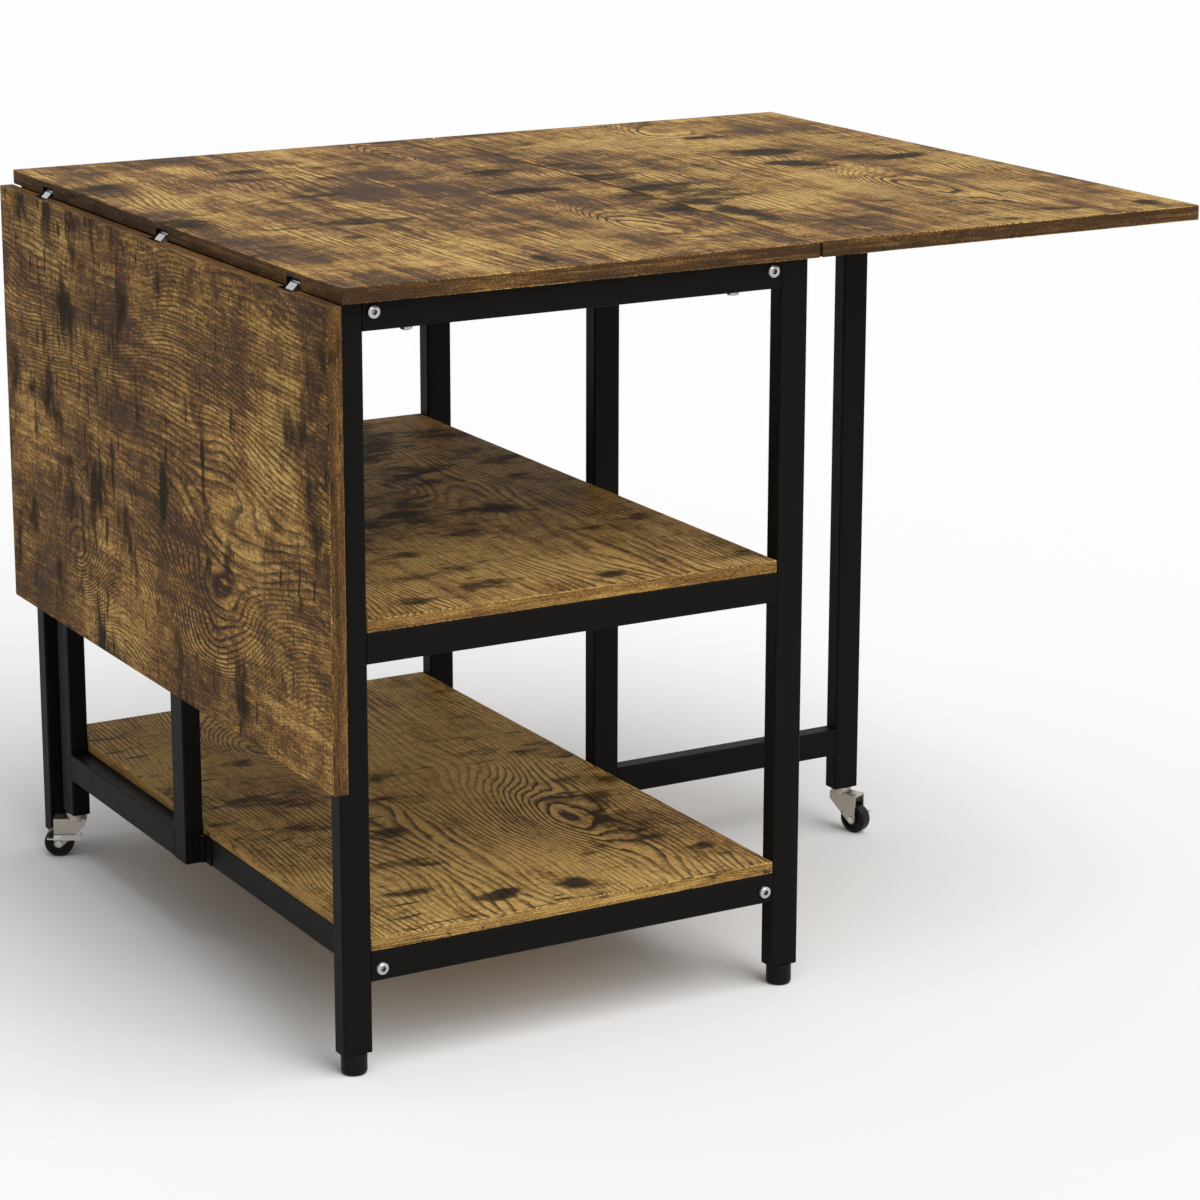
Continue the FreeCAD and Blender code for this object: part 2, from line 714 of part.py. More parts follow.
def build_gate(side):
    """A gate leg: post, caster leg, two rails, and its half of the hinges."""
    name = SIDE_NAMES[side]
    upright = (d.tube_narrow, d.tube_wide)
    leg_back = post_front + d.gate_length - d.tube_wide
    rail_back = post_front + d.tube_wide
    rail_sizes = (d.tube_narrow, d.gate_length - 2 * d.tube_wide, d.tube_wide)
    gate_tube(f"{name}_gate_post", side, post_front, (*upright, gate_top - d.bottom_rail_base), "z",
              d.bottom_rail_base)
    gate_tube(f"{name}_gate_leg", side, leg_back, (*upright, gate_top - d.gate_leg_base), "z", d.gate_leg_base)
    gate_tube(f"{name}_gate_top_rail", side, rail_back, rail_sizes, "y", gate_top - d.tube_wide)
    gate_tube(f"{name}_gate_bottom_rail", side, rail_back, rail_sizes, "y", d.bottom_rail_base)
    place = (*gate_axis[side], 0)
    plates = group([post_plate(side, base) for base in gate_hinge_bases])
    part(f"{name}_gate_hinge_plates", put(plates, place, heading=gate_turn[side]))
    pins = group([rod(d.gate_pin_radius, plate_height, (0, 0, base)) for base in gate_hinge_bases])
    part(f"{name}_gate_hinge_pins", put(pins, place, heading=gate_turn[side]))
    across = 90 if side == LEFT else 0
    part(f"{name}_caster_plug", put(group([plug(Size(0))]), (*stem[side], d.gate_leg_base), turn((0, 0, 1), across)))


def build_frame_plates():
    """The fixed halves of the gate hinges on the side rails."""
    plates = []
    for side in (LEFT, RIGHT):
        halves = group([frame_plate(side, base) for base in gate_hinge_bases])
        plates.append(put(halves, (*gate_axis[side], 0)))
    part("gate_hinge_frame_plates", group(plates))


# Casters. Each is drawn with its swivel axis on Z and its wheel trailing along X, then turned to its heading.

fork_inner = d.wheel_width + 2 * d.wheel_side_play
fork_width = fork_inner + 2 * d.fork_sheet
race_base = d.gate_leg_base - d.race_thick
brake_level = d.wheel_radius + d.brake_rise


def caster_race(side, place):
    """The swivel race with its threaded stem, and the kingpin that carries the fork."""
    crown_under = d.fork_crown_height - d.fork_crown_thick
    head_top = crown_under - d.race_play
    race = spun([
        (Size(0), head_top - d.kingpin_head_height), (d.kingpin_head_radius, head_top - d.kingpin_head_height),
        (d.kingpin_head_radius, head_top), (d.kingpin_radius, head_top), (d.kingpin_radius, race_base),
        (d.race_radius, race_base), (d.race_radius, d.gate_leg_base), (d.bolt_radius, d.gate_leg_base),
        (d.bolt_radius, d.gate_leg_base + d.plug_length), (Size(0), d.gate_leg_base + d.plug_length),
    ])
    part(f"{SIDE_NAMES[side]}_caster_race", put(race, place))


def caster_fork(side, place, heading):
    """A pressed fork: crown with the race boss, and two cheeks that taper to the axle."""
    body = doc.addObject("PartDesign::Body", "fork")
    rear = d.caster_trail + d.fork_tip_radius
    nose_low = d.fork_crown_height - d.fork_nose_drop
    cheek = outline(body, "XZ_Plane", [
        (-d.fork_nose, d.fork_crown_height), (rear, d.fork_crown_height), (rear, d.wheel_radius),
        (d.caster_trail - d.fork_tip_radius * 0.8, d.wheel_radius - d.fork_tip_radius * 0.6), (-d.fork_nose, nose_low),
    ])
    extrude(body, "Pad", cheek, fork_width, both_ways=True)
    tip = ring(body, "XZ_Plane", d.fork_tip_radius, (d.caster_trail, d.wheel_radius))
    extrude(body, "Pad", tip, fork_width, both_ways=True)
    boss = ring(body, "XY_Plane", d.fork_boss_radius, offset=d.fork_crown_height - d.fork_crown_thick)
    extrude(body, "Pad", boss, race_base - d.race_play - d.fork_crown_height + d.fork_crown_thick)
    under = d.fork_crown_height - d.fork_crown_thick
    room = outline(body, "XZ_Plane", [
        (-2 * d.fork_nose, Size(0)), (rear + d.fork_nose, Size(0)),
        (rear + d.fork_nose, under), (-2 * d.fork_nose, under),
    ])
    extrude(body, "Pocket", room, fork_inner, both_ways=True)
    holes = (
        (d.axle_radius, (d.caster_trail, d.wheel_radius)),
        (d.brake_pivot_radius + d.pin_play, (d.brake_pivot, brake_level)),
    )
    for radius, centre in holes:
        extrude(body, "Pocket", ring(body, "XZ_Plane", radius, centre), 2 * fork_width, both_ways=True)
    kingpin = ring(body, "XY_Plane", d.kingpin_radius + d.pin_play)
    extrude(body, "Pocket", kingpin, 2 * d.gate_leg_base, both_ways=True)
    part(f"{SIDE_NAMES[side]}_caster_fork", put(body, place, heading=heading))


def caster_wheel(side, place, heading):
    """A solid wheel with a rounded tread, recessed sides and a plain bore."""
    half = d.wheel_width / 2
    recess = half - d.wheel_recess_depth
    bore = d.axle_radius + d.pin_play
    wheel = spun([
        (bore, -half), (d.wheel_hub_radius, -half), (d.wheel_hub_radius, -recess),
        (d.wheel_rim_inner_radius, -recess), (d.wheel_rim_inner_radius, -half),
        *eased(d.wheel_radius, -half, d.wheel_tread_round, d.wheel_tread_round),
        *reversed(eased(d.wheel_radius, half, d.wheel_tread_round, -d.wheel_tread_round)),
        (d.wheel_rim_inner_radius, half), (d.wheel_rim_inner_radius, recess),
        (d.wheel_hub_radius, recess), (d.wheel_hub_radius, half), (bore, half),
    ], "XY_Plane")
    part(f"{SIDE_NAMES[side]}_caster_wheel", put(wheel, place, heading=heading))


def caster_axle(side, place, heading):
    """The riveted axle through both cheeks."""
    half = fork_width / 2
    outer = half + d.axle_head_height
    axle = spun([
        (Size(0), -outer), (d.axle_head_radius, -outer), (d.axle_head_radius, -half), (d.axle_radius, -half),
        (d.axle_radius, half), (d.axle_head_radius, half), (d.axle_head_radius, outer), (Size(0), outer),
    ], "XY_Plane")
    part(f"{SIDE_NAMES[side]}_caster_axle", put(axle, place, heading=heading))


def caster_brake(side, place, heading):
    """The brake lever on the outside of one cheek: strip, rounded tongue, upturned tab and pivot rivet."""
    near = fork_width / 2 + d.brake_play
    low = brake_level - d.brake_strip_height / 2
    rear = d.caster_trail + d.fork_tip_radius
    strip = box(rear + d.brake_front, d.brake_strip_thick, d.brake_strip_height, (-d.brake_front, near, low))
    tongue = box(d.brake_tongue_reach, d.brake_tongue_width, d.brake_strip_thick,
                 (d.caster_trail - d.brake_pivot_head_radius, near, brake_level - d.brake_strip_thick / 2))
    tongue_end = number(d.caster_trail - d.brake_pivot_head_radius + d.brake_tongue_reach)
    at_end = runs_along("z")
    tongue = rounded(tongue, d.brake_tongue_round,
                     lambda edge: at_end(edge) and abs(edge.CenterOfMass.x - tongue_end) < 1e-6)
    tab = box(d.brake_strip_thick, d.brake_tab_width, d.brake_tab_height,
              (-d.brake_front - d.brake_strip_thick, near, low))
    rivet = rod(d.brake_pivot_radius, d.fork_sheet + d.brake_play + d.brake_strip_thick,
                (d.brake_pivot, near - d.fork_sheet - d.brake_play, brake_level), "y")
    head = rod(d.brake_pivot_head_radius, d.brake_strip_thick * 2,
               (d.brake_pivot, near, brake_level), "y")
    lever = fuse([strip, tongue, tab, rivet, head])
    part(f"{SIDE_NAMES[side]}_caster_brake", put(lever, place, heading=heading))


def build_caster(side):
    """A braked swivel caster under a gate leg."""
    heading = {LEFT: d.left_heading, RIGHT: d.right_heading}[side]
    place = (*stem[side], 0)
    trail = [d.caster_trail * Size(f"{function}({heading})") for function in ("cos", "sin")]
    hub = (stem[side][0] + trail[0], stem[side][1] + trail[1], d.wheel_radius)
    caster_race(side, place)
    caster_fork(side, place, heading)
    caster_wheel(side, hub, heading)
    caster_axle(side, hub, heading)
    caster_brake(side, place, heading)


build_frame()
build_fasteners()
build_feet()
build_leaf_hinges()
build_boards()
build_frame_plates()
for table_side in (LEFT, RIGHT):
    build_gate(table_side)
    build_caster(table_side)
doc.recompute()

for thing in doc.Objects:
    if "Invalid" in thing.State or "Error" in thing.State:
        raise RuntimeError(f"{thing.Label} failed: {thing.State}")
for thing in parts:
    if thing.Shape.isNull() or not thing.Shape.isValid() or not thing.Shape.Solids:
        raise RuntimeError(f"{thing.Label} has no valid shape")

os.makedirs("parts", exist_ok=True)
for thing in parts:
    thing.Shape.exportStep(f"parts/{thing.Label}.step")
    print(f"{thing.Label}: {len(thing.Shape.Solids)} solids, {thing.Shape.Volume:.1f} mm3")
print(f"{len(parts)} sub-parts")
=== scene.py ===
"""Looks of the folding dining table: rustic wood boards on a black tube frame with gate legs.

Lengths are in metres on the frame's axes: X runs to the raised leaf, Y to the back and Z up.
"""

from __future__ import annotations

import json
import logging
import math
from dataclasses import dataclass
from enum import Enum
from typing import Mapping, Sequence, Union

import bpy
from mathutils import Matrix, Vector

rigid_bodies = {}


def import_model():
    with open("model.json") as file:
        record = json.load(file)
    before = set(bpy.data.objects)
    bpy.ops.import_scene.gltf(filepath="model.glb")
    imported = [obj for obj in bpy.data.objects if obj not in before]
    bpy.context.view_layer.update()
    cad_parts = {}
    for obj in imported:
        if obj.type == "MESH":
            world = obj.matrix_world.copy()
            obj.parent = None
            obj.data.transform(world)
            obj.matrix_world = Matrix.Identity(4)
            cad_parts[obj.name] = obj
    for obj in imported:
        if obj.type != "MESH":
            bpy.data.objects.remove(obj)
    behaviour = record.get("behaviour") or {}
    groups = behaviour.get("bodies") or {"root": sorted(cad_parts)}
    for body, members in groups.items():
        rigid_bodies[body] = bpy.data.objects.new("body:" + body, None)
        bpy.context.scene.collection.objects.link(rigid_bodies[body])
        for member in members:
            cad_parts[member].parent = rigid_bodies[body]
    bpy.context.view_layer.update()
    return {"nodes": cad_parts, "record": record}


log = logging.getLogger("folding_table")

MM = 0.001
NOISE_MIDDLE = 0.5

Key = Union[str, int]
Colour = tuple[float, float, float, float]
Triple = tuple[float, float, float]
Range = tuple[float, float]


def srgb(red: int, green: int, blue: int) -> Colour:
    """Turns a display colour into the linear colour that a shader takes, by the sRGB curve.

    Args:
        red: red from 0 to 255.
        green: green from 0 to 255.
        blue: blue from 0 to 255.

    Returns:
        The linear colour with an alpha of 1.
    """
    parts = []
    for channel in (red, green, blue):
        share = channel / 255
        parts.append(share / 12.92 if share <= 0.04045 else ((share + 0.055) / 1.055) ** 2.4)
    return (parts[0], parts[1], parts[2], 1.0)


class Axis(Enum):
    """A direction of the table's frame. The grain of every board runs along Y."""

    X = 0
    Y = 1
    Z = 2


class Lie(Enum):
    """How a board lies at rest: the direction across its grain, and the one through it."""

    FLAT = (Axis.X, Axis.Z)
    HANGING = (Axis.Z, Axis.X)


class Sock:
    """An output socket with arithmetic, so that an expression adds its Math nodes."""

    def __init__(self, graph: Graph, socket: bpy.types.NodeSocket) -> None:
        """Wraps a socket of the graph."""
        self.graph = graph
        self.socket = socket

    def maths(self, operation: str, *values: Operand) -> Sock:
        """Adds one Math node.

        Args:
            operation: the Math node's operation.
            values: its inputs in order.

        Returns:
            The node's value.
        """
        return self.graph.node("ShaderNodeMath", dict(enumerate(values)), operation=operation)

    def __add__(self, other: Operand) -> Sock:
        """Adds."""
        return self.maths("ADD", self, other)

    def __radd__(self, other: Operand) -> Sock:
        """Adds, reflected."""
        return self.maths("ADD", other, self)

    def __sub__(self, other: Operand) -> Sock:
        """Subtracts."""
        return self.maths("SUBTRACT", self, other)

    def __rsub__(self, other: Operand) -> Sock:
        """Subtracts, reflected."""
        return self.maths("SUBTRACT", other, self)

    def __mul__(self, other: Operand) -> Sock:
        """Multiplies."""
        return self.maths("MULTIPLY", self, other)

    def __rmul__(self, other: Operand) -> Sock:
        """Multiplies, reflected."""
        return self.maths("MULTIPLY", other, self)

    def __abs__(self) -> Sock:
        """Drops the sign."""
        return self.maths("ABSOLUTE", self)

    def __gt__(self, other: Operand) -> Sock:
        """Gives 1 where the value is greater, else 0."""
        return self.maths("GREATER_THAN", self, other)

    def maximum(self, other: Operand) -> Sock:
        """Gives the greater of two values."""
        return self.maths("MAXIMUM", self, other)

    def fraction(self) -> Sock:
        """Gives the part after the point."""
        return self.maths("FRACT", self)

    def exponential(self) -> Sock:
        """Gives e to the power of the value."""
        return self.maths("EXPONENT", self)

    def swing(self) -> Sock:
        """Gives how far a noise lies above its middle, or below it as a negative number."""
        return self - NOISE_MIDDLE

    def smooth(self, low: float, high: float) -> Sock:
        """Gives a soft step from 0 at low to 1 at high."""
        ends = {"Value": self, "From Min": low, "From Max": high}
        return self.graph.node("ShaderNodeMapRange", ends, interpolation_type="SMOOTHSTEP")


Operand = Union[Sock, float, int, Sequence[float]]


class Graph:
    """A tree of shader nodes that ends in one output."""

    def __init__(self, tree: bpy.types.NodeTree, output: str) -> None:
        """Empties a tree and gives it its output.

        Args:
            tree: the tree of a material or of the world.
            output: the type of its output node.
        """
        tree.nodes.clear()
        self.tree = tree
        self.output = tree.nodes.new(output)

    def node(
        self,
        kind: str,
        inputs: Mapping[Key, Operand] | None = None,
        output: Key = 0,
        stops: Sequence[tuple[float, Colour]] = (),
        **settings: object,
    ) -> Sock:
        """Adds any node.

        Args:
            kind: the node's type.
            inputs: the values or links of its sockets.
            output: the socket to hand back.
            stops: a colour ramp's stops.
            settings: the node's own settings, set before its sockets.

        Returns:
            The chosen output.
        """
        made = self.tree.nodes.new(kind)
        for key, value in settings.items():
            setattr(made, key, value)
        if stops:
            elements = made.color_ramp.elements
            while len(elements) < len(stops):
                elements.new(1.0)
            for element, (place, colour) in zip(elements, stops):
                element.position = place
                element.color = colour
        for key, value in (inputs or {}).items():
            if isinstance(value, Sock):
                self.tree.links.new(value.socket, made.inputs[key])
            else:
                made.inputs[key].default_value = value
        return Sock(self, made.outputs[output])

    def end(self, shader: Sock) -> None:
        """Links a shader to the output."""
        self.tree.links.new(shader.socket, self.output.inputs["Surface"])


class Surface(Graph):
    """The nodes of one material."""

    def __init__(self, name: str) -> None:
        """Starts a material with nothing in it but its output.

        Args:
            name: the material's name.
        """
        self.material = bpy.data.materials.new(name)
        self.material.use_nodes = True
        super().__init__(self.material.node_tree, "ShaderNodeOutputMaterial")

    def place(self, output: str = "Object") -> Sock:
        """Gives the point or the normal on the piece's own axes."""
        return self.node("ShaderNodeTexCoord", output=output)

    def split(self, vector: Sock) -> list[Sock]:
        """Takes a vector apart into its three values."""
        first = self.node("ShaderNodeSeparateXYZ", {0: vector})
        return [Sock(self, out) for out in first.socket.node.outputs]

    def scaled(self, vector: Sock, scale: Triple, shift: Triple = (0.0, 0.0, 0.0)) -> Sock:
        """Scales a vector and then shifts it."""
        inputs = {0: vector, 1: scale, 2: shift}
        return self.node("ShaderNodeVectorMath", inputs, operation="MULTIPLY_ADD")

    def noise(self, vector: Sock, scale: float, detail: float, rough: float) -> Sock:
        """Gives smooth noise from 0 to 1."""
        inputs = {"Vector": vector, "Scale": scale, "Detail": detail, "Roughness": rough}
        return self.node("ShaderNodeTexNoise", inputs)

    def mix(self, share: Operand, below: Operand, above: Operand) -> Sock:
        """Lays one colour over another by a share."""
        # Inputs 6 and 7 and output 2 are the node's colour sockets.
        inputs = {0: share, 6: below, 7: above}
        return self.node("ShaderNodeMix", inputs, output=2, data_type="RGBA")

    def bump(self, height: Sock, strength: float, distance: float) -> Sock:
        """Turns a height from 0 to 1 into a normal, by the depth in metres of a height of 1."""
        inputs = {"Height": height, "Strength": strength, "Distance": distance}
        return self.node("ShaderNodeBump", inputs)

    def finish(self, sockets: Mapping[str, Operand]) -> bpy.types.Material:
        """Ends the nodes in a Principled shader with these sockets, and gives the material."""
        self.end(self.node("ShaderNodeBsdfPrincipled", sockets))
        return self.material


@dataclass(frozen=True)
class Spot:
    """An oval place on a board's face, in metres on the frame's axes at rest.

    Attributes:
        across: its middle across the grain.
        along: its middle along the grain.
        wide: its reach across the grain.
        long: its reach along the grain.
        strength: its height in the middle.
    """

    across: float
    along: float
    wide: float
    long: float
    strength: float

    def hump(self, across: Sock, along: Sock) -> Sock:
        """Gives a smooth hump over the place.

        Args:
            across: the place across the grain.
            along: the place along the grain.

        Returns:
            The hump, which has its strength at the middle and falls to 0 around it.
        """
        u = (across - self.across) * (1 / self.wide)
        v = (along - self.along) * (1 / self.long)
        return (0 - u * u - v * v).exponential() * self.strength


@dataclass(frozen=True)
class Cells:
    """The shape of one layer of noise on a board.

    Attributes:
        across: cells per metre across the grain.
        along: cells per metre along the grain.
        depth: its own place in the noise, so that no two layers are alike.
        detail: how many times finer noise is added.
        rough: how strong the finer noise is.
    """

    across: float
    along: float
    depth: float
    detail: float
    rough: float


class Layer(Enum):
    """The layers of noise that the printed wood is made of."""

    # What bends, fades and breaks the year lines.
    BEND = Cells(4.6, 1.7, 1.3, 2, 0.45)
    WAVER = Cells(60, 13, 2.7, 2, 0.5)
    WOBBLE = Cells(21, 8, 17.1, 2, 0.5)
    FADE = Cells(5.5, 3.6, 4.1, 2, 0.5)
    DASH = Cells(150, 60, 6.4, 2, 0.6)
    # The light and dark of the wood.
    CLOUD = Cells(5.0, 5.6, 5.9, 6, 0.58)
    PATCH = Cells(17, 26, 14.2, 5, 0.62)
    STREAK = Cells(150, 5, 7.3, 3, 0.55)
    BAND = Cells(42, 3.6, 20.4, 4, 0.6)
    FIBRE = Cells(700, 40, 8.8, 2, 0.55)
    SAW = Cells(60, 560, 10.1, 2, 0.55)
    SPECK = Cells(300, 340, 15.7, 2, 0.6)
    # Where the marks lie.
    REGION = Cells(3.6, 4.0, 9.4, 1, 0.4)
    PEPPER = Cells(330, 250, 18.9, 3, 0.65)
    HAIR = Cells(560, 26, 19.6, 3, 0.6)
    STAIN = Cells(12, 22, 11.2, 7, 0.6)
    SCAR = Cells(20, 80, 12.9, 6, 0.6)
    GRIME = Cells(70, 110, 16.3, 5, 0.68)
    PORE = Cells(420, 90, 12.6, 1, 0.5)
    CHIP = Cells(230, 120, 13.5, 2, 0.6)


class Tint(Enum):
    """The colours of the printed wood."""

    LIGHT = srgb(210, 172, 102)
    GOLDEN = srgb(166, 125, 66)
    BROWN = srgb(119, 85, 49)
    UMBER = srgb(70, 52, 36)
    LINE = srgb(62, 43, 28)
    SMUDGE = srgb(54, 41, 28)
    SOOT = srgb(30, 24, 18)
    CHIP = srgb(206, 178, 126)


@dataclass(frozen=True)
class Cover:
    """How a mark of the print covers the wood.

    Attributes:
        start: the noise at which the mark starts to show.
        full: the noise at which it shows fully.
        share: how much of the wood it covers there.
        tint: its colour.
    """

    start: float
    full: float
    share: float
    tint: Tint


class Mark(Enum):
    """The marks over the wood's own tone."""

    GRIME = Cover(0.5, 0.7, 0.4, Tint.SMUDGE)
    HAIR = Cover(0.55, 0.66, 0.55, Tint.LINE)
    PEPPER = Cover(0.54, 0.64, 0.35, Tint.SMUDGE)
    LINE = Cover(0.36, 0.84, 0.95, Tint.LINE)
    SMUDGE = Cover(0.53, 0.66, 0.75, Tint.SMUDGE)
    SOOT = Cover(0.6, 0.72, 0.8, Tint.SOOT)
    SCAR = Cover(0.6, 0.68, 0.85, Tint.SOOT)
    PORE = Cover(0.6, 0.72, 0.4, Tint.SOOT)
    CHIP = Cover(0.72, 0.79, 0.45, Tint.CHIP)

    def shape(self, noise: Sock) -> Sock:
        """Gives 0 where the mark is absent and 1 where it is full."""
        return noise.smooth(self.value.start, self.value.full)

    def lay(self, surface: Surface, shape: Sock, below: Sock) -> Sock:
        """Lays the mark over a colour."""
        return surface.mix(shape * self.value.share, below, self.value.tint.value)


class BoardSurface(Surface):
    """The nodes of one board's print, with the board's own directions.

    Attributes:
        on_face: 1 on the two large faces and 0 on the edges.
        off_face: 0 on the two large faces and 1 on the edges.
        width: the place across the grain.
        length: the place along the grain.
        SQUARE_ON: how squarely a surface has to look along a direction to count as facing it.
        EDGE_STRETCH: how much closer the grain lies on the edges.
    """

    SQUARE_ON = 0.6
    EDGE_STRETCH = 6.0

    def __init__(self, name: str, lie: Lie, seed: float) -> None:
        """Works out where a point lies on the board.

        Args:
            name: the material's name.
            lie: how the board lies at rest.
            seed: the board's own place in the noise.
        """
        super().__init__(name)
        across, through = lie.value
        point = self.split(self.place())
        facing = self.split(self.place("Normal"))
        at_end = abs(facing[Axis.Y.value]) > self.SQUARE_ON
        on_edge = point[through.value] * self.EDGE_STRETCH
        self.on_face = abs(facing[through.value]) > self.SQUARE_ON
        self.off_face = 1 - self.on_face
        self.width = self.on_face * point[across.value] + self.off_face * on_edge
        self.length = at_end * point[across.value] + (1 - at_end) * point[Axis.Y.value]
        self.base = self.node("ShaderNodeCombineXYZ", {0: self.width, 1: self.length, 2: seed})
        self.layers: dict[Layer, Sock] = {}

    def grain(self, layer: Layer) -> Sock:
        """Gives a layer of noise, which is made once.

        Args:
            layer: the layer.

        Returns:
            Its noise from 0 to 1.
        """
        if layer not in self.layers:
            cells = layer.value
            scale = (cells.across, cells.along, 1.0)
            stretched = self.scaled(self.base, scale, (0.0, 0.0, cells.depth))
            self.layers[layer] = self.noise(stretched, 1.0, cells.detail, cells.rough)
        return self.layers[layer]

    def swings(self, weights: Mapping[Layer, float]) -> Sock:
        """Adds up the swings of some layers, each by its weight."""
        return sum(self.grain(layer).swing() * weight for layer, weight in weights.items())

    def humps(self, spots: Sequence[Spot]) -> list[Sock]:
        """Gives the hump of each spot, on the two large faces alone."""
        return [spot.hump(self.width, self.length) * self.on_face for spot in spots]


@dataclass(frozen=True)
class YearLines:
    """The thin dark lines of the year rings, which close into rings around the eyes.

    Attributes:
        rings: lines per metre across the grain.
        bend: how far the broad noise bends the lines, in metres.
        waver: how far the finer noises shift them, in lines.
        fall: the part of a ring over which its line ends.
        fade: the noise over which the lines come up.
        faded: how much of them shows where they have faded.
        at_eyes: how much more of them shows at an eye.
        dash: the noise over which a line is drawn out.
        gap: how much of a line shows in its gaps.
    """

    rings: float = 130.0
    bend: float = 0.21
    waver: float = 1.2
    fall: Range = (0.88, 1.0)
    fade: Range = (0.38, 0.6)
    faded: float = 0.3
    at_eyes: float = 0.7
    dash: Range = (0.25, 0.55)
    gap: float = 0.4

    def drawn(self, board: BoardSurface, eyes: Sequence[Sock]) -> Sock:
        """Gives the lines at their full strength.

        Args:
            board: the board's nodes.
            eyes: the humps of the eyes, in lines.

        Returns:
            1 on a line and 0 between the lines.
        """
        bent = board.grain(Layer.BEND) * self.bend + board.width
        rise = bent * self.rings
        for layer in (Layer.WAVER, Layer.WOBBLE):
            rise = rise + board.grain(layer) * self.waver
        ring = sum(eyes, rise).fraction()
        return Mark.LINE.shape(ring) - ring.smooth(*self.fall)

    def shown(self, board: BoardSurface, near_eye: Operand) -> Sock:
        """Gives how much of the lines shows.

        Args:
            board: the board's nodes.
            near_eye: 1 in the middle of an eye and 0 away from the eyes.

        Returns:
            The share of the lines that shows.
        """
        fade = board.grain(Layer.FADE).smooth(*self.fade) * (1 - self.faded) + self.faded
        dash = board.grain(Layer.DASH).smooth(*self.dash) * (1 - self.gap) + self.gap
        return (fade + near_eye * self.at_eyes) * dash


@dataclass(frozen=True)
class Tones:
    """The light and dark of the wood under its marks.

    Attributes:
        print_tone_and_painted_light: how much lighter the board is than the plain print. On the
            top and the raised leaf this is their own print tone. On the shelves it is painted
            light, and on the hanging leaf it is painted shade.
        contrast: how strong its broad tones are.
        edge: how much darker its edges are than its faces.
        plain: the tone of the plain print.
        edge_share: how much of the broad tones the edges have.
        at_eyes: how much lighter an eye is.
        BROAD: the weights of the broad layers.
        FINE: the weights of the fine layers.
        STOPS: the colours of the tones from dark to light.
    """

    print_tone_and_painted_light: float = 0.0
    contrast: float = 1.0
    edge: float = 0.22
    plain: float = 0.51
    edge_share: float = 0.5
    at_eyes: float = 0.12

    BROAD = {Layer.CLOUD: 2.0, Layer.PATCH: 1.0, Layer.STREAK: 0.9, Layer.BAND: 1.3}
    FINE = {Layer.FIBRE: 1.0, Layer.SAW: 0.6, Layer.SPECK: 0.8}
    STOPS = (
        (0.12, Tint.UMBER.value),
        (0.36, Tint.BROWN.value),
        (0.56, Tint.GOLDEN.value),
        (0.84, Tint.LIGHT.value),
    )

    def colour(self, board: BoardSurface, near_eye: Operand) -> Sock:
        """Gives the wood's colour.

        Args:
            board: the board's nodes.
            near_eye: 1 in the middle of an eye and 0 away from the eyes.

        Returns:
            The colour before the marks.
        """
        kept = board.on_face * (1 - self.edge_share) + self.edge_share
        tone = board.swings(self.BROAD) * kept * self.contrast + board.swings(self.FINE)
        # The board's own print tone shifts the whole tone. So does the painted light on the
        # shelves and the painted shade on the hanging leaf.
        tone = tone + (self.plain + self.print_tone_and_painted_light) - board.off_face * self.edge
        tone = tone + near_eye * self.at_eyes
        return board.node("ShaderNodeValToRGB", {0: tone}, stops=self.STOPS)


@dataclass(frozen=True)
class Relief:
    """The feel of the print: raised fibres, sunk lines and pores, and a dull gloss.

    Attributes:
        depth: the depth of the relief in metres.
        strength: how much of it shows.
        fibre: the fibres' share of it.
        line: the year lines' share of it.
        pore: the pores' share of it.
        roughness: the plain roughness.
        smudge_roughness: how much rougher a smudge is.
        fibre_roughness: how much the fibres vary it.
        specular: how strongly the print reflects.
    """

    depth: float = 0.15 * MM
    strength: float = 0.25
    fibre: float = 0.4
    line: float = 0.4
    pore: float = 0.2
    roughness: float = 0.58
    smudge_roughness: float = 0.1
    fibre_roughness: float = 0.15
    specular: float = 0.04

    def sockets(
        self, board: BoardSurface, lines: Sock, marks: Mapping[Mark, Sock]
    ) -> dict[str, Operand]:
        """Gives the shader's sockets other than its colour.

        Args:
            board: the board's nodes.
            lines: the year lines at their full strength.
            marks: the shapes of the marks.

        Returns:
            The sockets by name.
        """
        fibre = board.grain(Layer.FIBRE)
        height = fibre * self.fibre + (1 - lines) * self.line + (1 - marks[Mark.PORE]) * self.pore
        rough = self.roughness + marks[Mark.SMUDGE] * self.smudge_roughness
        return {
            "Roughness": rough + fibre.swing() * self.fibre_roughness,
            "Specular IOR Level": self.specular,
            "Normal": board.bump(height, self.strength, self.depth),
        }


